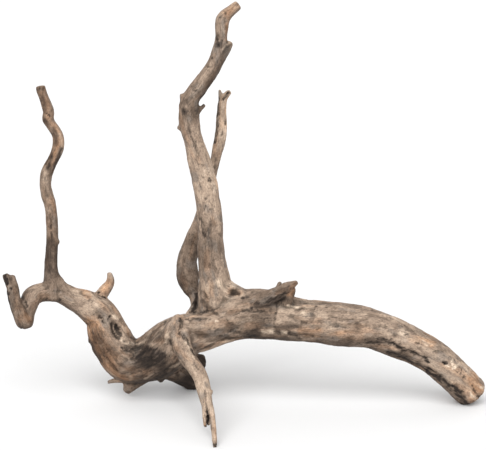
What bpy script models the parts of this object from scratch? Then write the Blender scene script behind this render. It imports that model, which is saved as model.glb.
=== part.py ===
"""A piece of driftwood: one grown stem with uprights, roots and snags, standing on its worn feet.

Blender 4.5, metres, +Z up. The origin is the middle of its footprint, on the ground.
"""

import math
from collections import namedtuple

import bmesh
import bpy
import numpy as np
from mathutils import Vector, noise

NAME = "driftwood"
MM = 0.001

# The limbs are laid out on a front elevation of the piece, ELEVATION_WIDTH by ELEVATION_HEIGHT millimetres.
# The elevation leans back by LEAN, as seen by an eye that looks down on it from EYE_DISTANCE.
ELEVATION_WIDTH = 486.0
ELEVATION_HEIGHT = 450.0
LEAN = math.radians(15.0)
EYE_DISTANCE = 2000.0
ELEVATION_MIDDLE = Vector((-2.9, 78.0, 168.6))  # where the elevation's middle stands, from the origin

# Relief that follows the grain round and along each limb: wide lobes, ridges, and creases where the wood has split
# as it dried. Each has a depth, a size across and a size along the grain, in millimetres.
LOBE_DEPTH, LOBE_WIDTH, LOBE_RUN = 2.4, 17.0, 42.0
RIDGE_DEPTH, RIDGE_WIDTH, RIDGE_RUN = 1.1, 7.0, 34.0
CREASE_DEPTH, CREASE_WIDTH, CREASE_RUN = 1.2, 13.0, 65.0
CREASE_SHARPNESS = 7.0
MOST_RELIEF = 0.1  # most depth of each, as a share of the radius
SPIRAL = math.radians(0.35)  # turn of the grain for each millimetre along a limb

RING_STEP = 1.8
RING_SIDES = 64
DOME_RINGS = 5
BLUNT = 3.0  # power of the curve that closes an end: 2 is round, more is blunter

VOXEL = 1.25
SMOOTH_SHARE = 0.5
SMOOTH_PASSES = 3
TRIANGLES = 11000

# A limb's stations are (across, up, near, radius) in millimetres. Across and up are measured on the elevation from its
# lower left corner, and near is how far the limb's axis stands out of it towards the eye. A dome is how far an end
# bulges past its last station, as a share of the radius there.
Limb = namedtuple("Limb", "stations end_dome start_dome", defaults=(0.35, 0.35))

LIMBS = {
    # From the thick right end, through the belly, to the hook at the left.
    "stem": Limb(
        [
            (468.2, 61.2, 12, 16.7), (459.6, 70, 15.5, 17.5), (440, 86.8, 21, 17.5), (420, 100, 25, 17.3),
            (400, 110.5, 28, 18.1), (380, 118.5, 30, 19.6), (360, 123.3, 31, 20.7), (330, 126.2, 31, 21.4),
            (300, 129, 30, 21.6), (275, 134.5, 28, 24.5), (250, 136.5, 25, 23.6), (228, 132, 22, 22.9),
            (205, 119.5, 19, 19.5), (187, 115, 17, 22.5), (174, 107.3, 15, 25.3), (159.5, 95.8, 12, 24.6),
            (141, 88.2, 9, 22), (127, 90, 8, 22.4), (117, 101, 8, 21.2), (107.9, 117, 9, 19.8),
            (101, 134, 10, 17.2), (87, 144.5, 12, 15), (73.5, 150.2, 14, 12.2), (61, 156.3, 17, 11),
            (50, 156.8, 20, 9.7), (40, 156.3, 25, 9.6), (32, 152.8, 30, 9.6), (28, 144, 36, 8.4),
            (25.6, 134.6, 41, 7.8), (23.6, 128.4, 45, 8.3), (18.2, 139, 49, 6.6), (14.2, 152, 52, 6.4),
            (12.4, 162, 53, 6.1), (10.4, 169, 53, 5.8), (9.7, 173.6, 53, 5.4),
        ],
        start_dome=0.75,
        end_dome=0.2,
    ),
    "hook_lip": Limb([(9.4, 163.5, 53, 3.4), (7.2, 170, 53, 3.4), (5.2, 175.2, 53, 3.2)]),
    "main_upright": Limb(
        [
            (216, 132, 20, 17), (215, 150, 22, 17), (214.5, 162, 24, 16.5), (214.3, 170, 26, 15.5),
            (212.8, 180, 28, 14.2), (211.2, 192, 30, 13.6), (210.5, 207, 33, 13.4), (209.8, 222, 35, 13.1),
            (208.8, 236, 37, 12.4), (207.6, 250, 38, 11.8), (205.5, 264, 39, 11.4), (202.1, 278, 40, 11),
            (198.3, 292, 42, 10.6), (194.8, 304, 44, 10), (190.9, 317, 47, 10), (188.5, 329, 50, 10.4),
            (188.2, 339, 52, 10.4), (189.5, 348, 54, 10.1), (193.3, 355.3, 55, 9.3), (198.6, 362.3, 56, 9.1),
            (206.5, 372.8, 57, 8.8), (213, 382.7, 57, 8.3), (217, 392, 57, 7.6), (219, 400, 57, 6.8),
            (220.8, 407, 58, 6.2), (221.9, 415, 59, 6.1), (221.9, 424, 60, 6.6), (222.6, 430.4, 60, 7),
            (225.3, 434.7, 60, 6.5), (230.5, 438.9, 61, 5.4), (235.3, 443, 62, 5.1), (237.5, 444.8, 62, 5),
        ],
    ),
    "upright_web": Limb([(217, 165, 24, 14), (226, 156.5, 24, 13.5), (239, 148.5, 24, 14.2)]),
    "upright_stub": Limb([(217, 387, 56, 6), (223, 396, 54, 5.6), (228, 403.4, 54, 4.6), (230.5, 407.2, 54, 3.5)]),
    "upright_thorn": Limb([(194, 334, 52, 3.2), (200.5, 341, 54, 2.3), (204.6, 345, 55, 2)]),
    "upright_spur": Limb([(185, 346, 53, 3.6), (182, 352, 55, 2.5), (181.2, 355.8, 55, 1.9)]),
    "upright_barb": Limb([(184, 320, 48, 3.4), (177.6, 322.6, 48, 1.9)]),
    "back_upright": Limb(
        [
            (200, 128, 8, 9), (197.5, 140, 0, 7.4), (196, 148, -6, 6.2), (193.8, 155, -10, 6.6),
            (190.4, 162, -13, 8.8), (188, 169.5, -14, 11.4), (186.7, 177.5, -14, 11.2), (186.4, 188, -14, 10.2),
            (189.1, 197.5, -14, 10), (192, 207, -14, 8.7), (196, 217, -14, 7.8), (200.5, 230, -13, 6.8),
            (205, 245, -10, 6.2), (209, 260, -5, 5.6), (212.3, 275, 0, 5.2), (215, 288, 4, 5.4),
            (217.5, 300, 8, 5.7), (219.8, 310, 11, 5.8), (220.9, 320, 14, 5.7), (221.2, 330, 17, 5.6),
            (221.5, 340, 20, 5.2), (222.4, 347, 22, 4.9), (224.5, 352.5, 24, 4.1), (228.4, 357, 25, 3.2),
            (229.9, 358.2, 25, 2.6),
        ],
    ),
    "back_prong": Limb([(222, 345, 22, 3.8), (220.5, 353, 23, 2.5), (219.7, 360.2, 24, 1.8)]),
    "left_upright": Limb(
        [
            (53, 153, 20, 9.5), (53, 164, 22, 9.2), (52.5, 173, 23, 8.2), (51.7, 181, 24, 7),
            (51.2, 189, 26, 6.5), (51.9, 200, 29, 6.5), (52.5, 212, 32, 6.5), (52.3, 225, 34, 6.4),
            (51.8, 237, 36, 6.4), (50, 246, 37, 6.4), (47, 255, 38, 6.7), (45.3, 265, 40, 6.6),
            (46, 275, 43, 6.5), (48.5, 282.5, 46, 5.9), (53, 291, 48, 5.5), (57, 299.5, 49, 5.8),
            (58.2, 307, 49, 6), (57.3, 314, 49, 5.8), (54.3, 320, 49, 5.4), (50.2, 326, 49, 5.2),
            (47.5, 332, 50, 6.2), (48.4, 337, 51, 5.7), (46.5, 344, 52, 5.6), (43.7, 352, 53, 5),
            (41.2, 359, 54, 5.2), (40.4, 363, 54, 5.3),
        ],
        end_dome=0.25,
    ),
    "left_web": Limb([(54.6, 171, 22, 6.9), (62.5, 160.6, 20, 7.6), (73, 152.6, 17, 9.9)]),
    "left_nub": Limb([(55, 208, 33, 3.6), (59.3, 208, 33, 2)]),
    "left_knot": Limb([(46.5, 331, 50, 4), (43, 331, 50, 2.6)]),
    "left_twig": Limb(
        [
            (98, 148, 8, 8), (101.5, 155, 4, 6.5), (105.5, 160.5, 2, 6), (109.3, 165.5, 2, 5),
            (110.6, 170.8, 4, 4), (109.3, 177, 5, 2.4),
        ],
    ),
    "left_snag": Limb([(97, 149, 16, 6), (90, 155, 19, 4.2), (85, 158.2, 21, 3.1)]),
    "belly_nub": Limb([(96, 110, 8, 8), (89.4, 110.5, 8, 3.7)]),
    "front_root": Limb(
        [
            (182, 124, 26, 12), (180, 114, 36, 10.8), (182.3, 104, 47, 9.2), (188, 92.5, 59, 8.6),
            (194.7, 82.5, 71, 8), (200.8, 72, 82, 7.6), (204.2, 60, 92, 7.1), (206.5, 49, 101, 6.3),
            (208, 41, 106, 4.6),
        ],
    ),
    "front_prong": Limb(
        [
            (209, 47, 102, 4.4), (211.8, 37, 108, 3.5), (213.2, 26, 114, 3.4), (214, 15, 120, 3.1),
            (214.7, 7, 125, 2.7), (215, 3, 127, 2.1),
        ],
    ),
    "short_prong": Limb([(204, 50, 100, 4), (204.3, 38, 107, 2.6), (204.8, 29, 110, 2.5), (205.8, 23.4, 112, 2.1)]),
    "prong_web": Limb([(208, 44, 98, 4), (208.3, 33, 103, 2.8), (208.6, 25, 106, 2)]),
    "front_shoulder": Limb([(180, 127, 24, 10), (171.5, 120, 33, 6.5), (167.5, 112, 36, 5)]),
    "front_barb": Limb([(207, 59, 94, 4), (212.3, 57.8, 96, 2.1)]),
    "front_ridge": Limb(
        [
            (182, 124, 30, 9), (199, 124.5, 32, 11.5), (218, 127, 33, 12.5), (240, 132, 33, 12.5),
            (262, 136, 31, 11), (285, 134, 29, 10),
        ],
    ),
    "right_snag": Limb(
        [
            (248, 139, 31, 13), (260, 146.5, 39, 10), (271, 153, 46, 7.7), (281, 158.2, 51, 6.2),
            (290, 161.6, 54, 5.9), (293.2, 163, 55, 5.5),
        ],
        end_dome=0.12,
    ),
    "right_ear": Limb([(284, 162.5, 52, 4.8), (292, 165.4, 54, 3.9), (297.3, 167.9, 55, 2.5)], end_dome=0.2),
    "right_nub": Limb([(279, 162, 46, 3.6), (279.8, 168, 46, 2)]),
    "rear_root": Limb(
        [
            (168, 98, 0, 18), (180.5, 89.3, -14, 15.3), (188.5, 82.5, -26, 13.6), (192.5, 77, -37, 13.4),
        ],
    ),
    "rear_knob": Limb([(189, 88, -20, 9), (202.4, 88.4, -26, 7.4)]),
    "belly_foot": Limb([(141, 77, 4, 12), (134.5, 69.5, 1, 9.5), (130, 63.5, -2, 7), (127.3, 59, -4, 4.4)]),
    "belly_twig": Limb([(126, 71, 1, 3.8), (115, 69.5, -3, 2.6), (108, 67.8, -6, 2)]),
    "belly_barb": Limb([(160, 74, -4, 6), (161.3, 68.6, -8, 2.1)]),
    "rear_web": Limb([(164, 81, 0, 10.5), (180, 75.5, -19, 10.4), (193, 70.3, -33, 10.8)]),
    "back_flare": Limb([(197, 142, 0, 6.5), (191, 138, 3, 3.8), (187, 136, 5, 2.2)]),
    "snag_face": Limb([(284.5, 146, 42, 7.4), (287.5, 153, 48, 6.2), (289.8, 158, 52, 5.8)]),
}

# A dent is (across, up, near, half its width, half its length, depth, lean of its length from upright in degrees).
# A negative depth is a bump.
Dent = namedtuple("Dent", "across up near half_width half_length depth lean")

DENTS = [
    Dent(115.5, 121, 28, 6, 13, 6.5, 24),      # rotted eye above the belly
    Dent(102, 137, 26, 5, 16, -2, 38),         # ridge from the eye to the snag
    Dent(234, 157.5, 38, 7, 5, 4, -10),        # knot pit beside the main upright
    Dent(147, 91, 32, 20, 11, 5, -62),         # sunken front of the belly
    Dent(128, 82, 30, 7, 20, -2.2, -50),       # swelling under it
    Dent(207.7, 30, 112, 1.8, 9, 2.4, -3),     # split in the front root's short prong
    Dent(196.5, 147, 6, 3, 10, 5, 8),          # crease behind the main upright
    Dent(181, 127, 40, 2.6, 10, 2.6, 15),      # fold above the front root
    Dent(222, 110, 40, 26, 3, 2.5, 8),         # undercut below the front ridge
    Dent(209, 219, 48, 8, 9, 1.6, 0),          # scar on the main upright
    Dent(411, 109, 42, 13, 8, -1.4, 30),       # flaky swelling on the right limb
    Dent(445, 87, 36, 4, 3, 2.2, 0),           # hole beside it
    Dent(477, 54, 20, 4, 5, 3, 0),             # rotten heart of the right end
    Dent(8, 176, 54, 4, 4, 3.5, 0),            # rotten end of the hook
]

WOOD_COLOUR = (0.335, 0.245, 0.175, 1.0)
WOOD_ROUGHNESS = 0.9


def clear_scene():
    for obj in list(bpy.data.objects):
        bpy.data.objects.remove(obj)


def placed(across, up, near):
    """The point, in millimetres, that an eye sees at (across, up) on the elevation, near in front of it."""
    nearer = 1 - near / EYE_DISTANCE
    across = (across - ELEVATION_WIDTH / 2) * nearer
    up = (up - ELEVATION_HEIGHT / 2) * nearer
    depth = up * math.sin(LEAN) - near * math.cos(LEAN)
    height = up * math.cos(LEAN) + near * math.sin(LEAN)
    return ELEVATION_MIDDLE + Vector((across, depth, height))


def spaced(stations):
    """Stations as (x, y, z, radius), joined by a smooth curve and read off every RING_STEP."""
    knots = [
        np.array([*placed(across, up, near), radius * (1 - near / EYE_DISTANCE)])
        for across, up, near, radius in stations
    ]
    knots = [2 * knots[0] - knots[1], *knots, 2 * knots[-1] - knots[-2]]
    path = []
    for before, start, end, after in zip(knots, knots[1:], knots[2:], knots[3:]):
        steps = max(2, round(np.linalg.norm(end[:3] - start[:3]) / RING_STEP))
        for t in np.arange(steps) / steps:
            path.append(
                0.5
                * (
                    2 * start
                    + (end - before) * t
                    + (2 * before - 5 * start + 4 * end - after) * t**2
                    + (3 * start - 3 * end + after - before) * t**3
                )
            )
    path.append(knots[-2])
    return path


def domed(path, end_dome, start_dome):
    """The path with each end carried on by a dome that narrows to almost nothing."""
    ends = []
    for first, second, dome in ((path[0], path[1], start_dome), (path[-1], path[-2], end_dome)):
        out = first[:3] - second[:3]
        out /= np.linalg.norm(out)
        rings = []
        for step in range(1, DOME_RINGS + 1):
            share = step / DOME_RINGS
            narrow = max((1 - share**BLUNT) ** (1 / BLUNT), 0.03)
            rings.append(np.array([*(first[:3] + out * share * dome * first[3]), first[3] * narrow]))
        ends.append(rings)
    return ends[0][::-1] + path + ends[1]


def grain_noise(radius, turn, run, width, length, seed):
    """Noise that repeats round the limb, with cells of this width and length."""
    reach = radius / width
    return noise.noise(Vector((math.cos(turn) * reach, math.sin(turn) * reach + seed, run / length + seed)))


def girth(radius, turn, run, seed):
    """How far the skin lies from a limb's axis, at an angle round it and a length along it."""
    turn += SPIRAL * run
    most = MOST_RELIEF * radius
    lobe = grain_noise(radius, turn, run, LOBE_WIDTH, LOBE_RUN, seed)
    ridge = grain_noise(radius, turn, run, RIDGE_WIDTH, RIDGE_RUN, seed + 11)
    crease = max(0, 1 - CREASE_SHARPNESS * abs(grain_noise(radius, turn, run, CREASE_WIDTH, CREASE_RUN, seed + 23)))
    return (
        radius
        + min(LOBE_DEPTH, most * 1.6) * lobe
        + min(RIDGE_DEPTH, most) * ridge
        - min(CREASE_DEPTH, most) * crease
    )


def add_limb(mesh, limb, seed):
    """Lofts a limb's rings into the mesh as one closed tube."""
    path = domed(spaced(limb.stations), limb.end_dome, limb.start_dome)
    points = [Vector(station[:3]) for station in path]
    along = [(points[min(i + 1, len(points) - 1)] - points[max(i - 1, 0)]).normalized() for i in range(len(points))]
    side = along[0].orthogonal().normalized()
    run = 0.0
    rings = []
    for i, point in enumerate(points):
        side = (side - along[i] * side.dot(along[i])).normalized()
        other = along[i].cross(side)
        run += (point - points[max(i - 1, 0)]).length
        ring = []
        for corner in range(RING_SIDES):
            turn = math.tau * corner / RING_SIDES
            reach = girth(path[i][3], turn, run, seed)
            place = point + (side * math.cos(turn) + other * math.sin(turn)) * reach
            ring.append(mesh.verts.new(place * MM))
        rings.append(ring)
    for ring, following in zip(rings, rings[1:]):
        for corner in range(RING_SIDES):
            after = (corner + 1) % RING_SIDES
            mesh.faces.new((ring[corner], ring[after], following[after], following[corner]))
    mesh.faces.new(rings[0][::-1])
    mesh.faces.new(rings[-1])


def evaluated_mesh(obj):
    return bpy.data.meshes.new_from_object(obj.evaluated_get(bpy.context.evaluated_depsgraph_get()))


def swap_mesh(obj, mesh):
    """Gives the object this mesh in place of the one that its modifiers made it from."""
    obj.modifiers.clear()
    spent = obj.data
    obj.data = mesh
    bpy.data.meshes.remove(spent)


def lofted_limbs():
    """All the limbs as overlapping tubes in one object."""
    mesh = bmesh.new()
    for seed, limb in enumerate(LIMBS.values()):
        add_limb(mesh, limb, seed * 3.7)
    bmesh.ops.recalc_face_normals(mesh, faces=mesh.faces)
    data = bpy.data.meshes.new(NAME)
    mesh.to_mesh(data)
    mesh.free()
    return bpy.data.objects.new(NAME, data)


def fuse(obj):
    """Grows the tubes into one skin, softened where they meet."""
    remesh = obj.modifiers.new("fuse", "REMESH")
    remesh.mode = "VOXEL"
    remesh.voxel_size = VOXEL * MM
    smooth = obj.modifiers.new("soften", "SMOOTH")
    smooth.factor = SMOOTH_SHARE
    smooth.iterations = SMOOTH_PASSES
    swap_mesh(obj, evaluated_mesh(obj))


def dent(obj):
    """Pushes the skin in, away from the eye, over each dent."""
    count = len(obj.data.vertices)
    points = np.empty(count * 3)
    normals = np.empty(count * 3)
    obj.data.vertices.foreach_get("co", points)
    obj.data.vertex_normals.foreach_get("vector", normals)
    points = points.reshape(-1, 3) / MM
    normals = normals.reshape(-1, 3)
    up = np.array([0, math.sin(LEAN), math.cos(LEAN)])
    near = np.array([0, -math.cos(LEAN), math.sin(LEAN)])
    across = np.array([1.0, 0, 0])
    for spot in DENTS:
        offset = points - np.array(placed(spot.across, spot.up, spot.near))
        lean = math.radians(spot.lean)
        length_way = across * math.sin(lean) * -1 + up * math.cos(lean)
        width_way = across * math.cos(lean) + up * math.sin(lean)
        reach = np.sqrt(
            (offset @ width_way / spot.half_width) ** 2
            + (offset @ length_way / spot.half_length) ** 2
            + (offset @ near / (2 * spot.half_width)) ** 2
        )
        inward = np.clip(1 - reach**2, 0, 1) ** 1.5 * np.clip(normals @ near * 2, 0, 1)
        points -= np.outer(inward * spot.depth, near)
    obj.data.vertices.foreach_set("co", (points * MM).ravel())
    obj.data.update()


def thin_out(obj):
    """Fewer triangles, kept where the skin bends."""
    decimate = obj.modifiers.new("thin_out", "DECIMATE")
    obj.data.calc_loop_triangles()
    decimate.ratio = TRIANGLES / len(obj.data.loop_triangles)
    decimate.use_collapse_triangulate = True
    swap_mesh(obj, evaluated_mesh(obj))


def stand(obj):
    """Wears the feet flat at the ground and puts the origin in the middle of the footprint."""
    mesh = bmesh.new()
    mesh.from_mesh(obj.data)
    cut = bmesh.ops.bisect_plane(
        mesh,
        geom=mesh.verts[:] + mesh.edges[:] + mesh.faces[:],
        plane_co=(0, 0, 0),
        plane_no=(0, 0, -1),
        clear_outer=True,
    )
    rims = [edge for edge in cut["geom_cut"] if isinstance(edge, bmesh.types.BMEdge)]
    bmesh.ops.edgeloop_fill(mesh, edges=rims)
    bmesh.ops.recalc_face_normals(mesh, faces=mesh.faces)
    for axis in range(2):
        reach = [vert.co[axis] for vert in mesh.verts]
        middle = (min(reach) + max(reach)) / 2
        for vert in mesh.verts:
            vert.co[axis] -= middle
    mesh.to_mesh(obj.data)
    mesh.free()
    obj.data.shade_smooth()
    obj.data.set_sharp_from_angle(angle=math.radians(50))


def wood():
    material = bpy.data.materials.new("weathered_wood")
    material.use_nodes = True
    shader = material.node_tree.nodes["Principled BSDF"]
    shader.inputs["Base Color"].default_value = WOOD_COLOUR
    shader.inputs["Roughness"].default_value = WOOD_ROUGHNESS
    shader.inputs["Metallic"].default_value = 0.0
    return material


def main():
    clear_scene()
    collection = bpy.data.collections.new(NAME)
    bpy.context.scene.collection.children.link(collection)
    driftwood = lofted_limbs()
    collection.objects.link(driftwood)
    fuse(driftwood)
    dent(driftwood)
    thin_out(driftwood)
    stand(driftwood)
    driftwood.data.materials.append(wood())


if __name__ == "__main__":
    main()
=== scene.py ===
"""A piece of driftwood on a pale floor: its weathered skin, its wood, the light and the camera."""

import itertools
import math
from collections import namedtuple

import bmesh
import bpy
import numpy as np
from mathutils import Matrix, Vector, noise


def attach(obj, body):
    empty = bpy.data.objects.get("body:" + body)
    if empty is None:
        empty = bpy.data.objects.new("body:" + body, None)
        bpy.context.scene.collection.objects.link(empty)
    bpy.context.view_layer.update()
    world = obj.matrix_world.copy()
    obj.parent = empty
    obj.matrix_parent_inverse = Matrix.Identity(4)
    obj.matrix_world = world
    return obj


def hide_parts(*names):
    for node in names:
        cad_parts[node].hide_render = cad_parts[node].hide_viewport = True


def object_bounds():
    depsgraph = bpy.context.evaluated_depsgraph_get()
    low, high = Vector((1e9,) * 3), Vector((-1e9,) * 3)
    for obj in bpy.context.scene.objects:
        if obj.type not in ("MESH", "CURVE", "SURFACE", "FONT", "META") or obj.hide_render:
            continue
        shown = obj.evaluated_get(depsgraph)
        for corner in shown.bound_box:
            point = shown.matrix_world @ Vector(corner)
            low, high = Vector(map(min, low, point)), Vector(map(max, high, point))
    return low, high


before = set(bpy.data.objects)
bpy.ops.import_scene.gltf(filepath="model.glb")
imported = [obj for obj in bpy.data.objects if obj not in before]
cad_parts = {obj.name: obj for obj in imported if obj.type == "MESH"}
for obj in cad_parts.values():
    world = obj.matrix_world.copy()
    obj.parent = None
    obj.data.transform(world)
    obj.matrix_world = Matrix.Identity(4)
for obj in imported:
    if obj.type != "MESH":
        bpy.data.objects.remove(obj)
cad_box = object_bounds()

MM = 0.001

# The limbs are laid out on a front elevation of the piece, WIDTH by HEIGHT millimetres.
# The elevation leans back by LEAN, as seen by an eye that looks down on it from EYE_DISTANCE.
WIDTH = 486.0
HEIGHT = 450.0
MIDDLE = Vector((-2.9, 78.0, 168.6))
LEAN = math.radians(15.0)
EYE_DISTANCE = 2000.0

# Directions of the elevation: along it, up it, and out of it towards the eye.
ACROSS = np.array([1.0, 0.0, 0.0])
UP = np.array([0.0, math.sin(LEAN), math.cos(LEAN)])
NEAR = np.array([0.0, -math.cos(LEAN), math.sin(LEAN)])

# Lobes, ridges and creases that wind along each limb, in millimetres.
LOBE_DEPTH, LOBE_WIDTH, LOBE_RUN = 2.2, 17.0, 42.0
RIDGE_DEPTH, RIDGE_WIDTH, RIDGE_RUN = 0.8, 7.0, 34.0
CREASE_DEPTH, CREASE_WIDTH, CREASE_RUN = 1.0, 13.0, 65.0
CREASE_SHARPNESS = 7.0
MOST_RELIEF = 0.1  # of a ridge or a crease, as a share of the limb's radius
MOST_LOBE = 1.6  # of a lobe, as a share of that
SPIRAL = math.radians(0.35)  # how far the grain turns in a millimetre
LIMB_SEED, RIDGE_SEED, CREASE_SEED = 3.7, 11, 23

RING_STEP = 1.8
RING_SIDES = 64
DOME = 0.35
DOME_RINGS = 5
BLUNT = 3.0
THINNEST = 0.03  # a dome's last ring, as a share of the limb's radius

VOXEL = 1.33
SMOOTH_SHARE = 0.5
SMOOTH_PASSES = 3

# A limb's stations are (across, up, near, radius) in millimetres. Across and up are measured on the
# elevation from its lower left corner, and near is how far the limb's axis stands out of it towards the
# eye. Its end and start are how far each bulges past the last station there, as a share of the radius.
Limb = namedtuple("Limb", "stations end start", defaults=(DOME, DOME))

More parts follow.
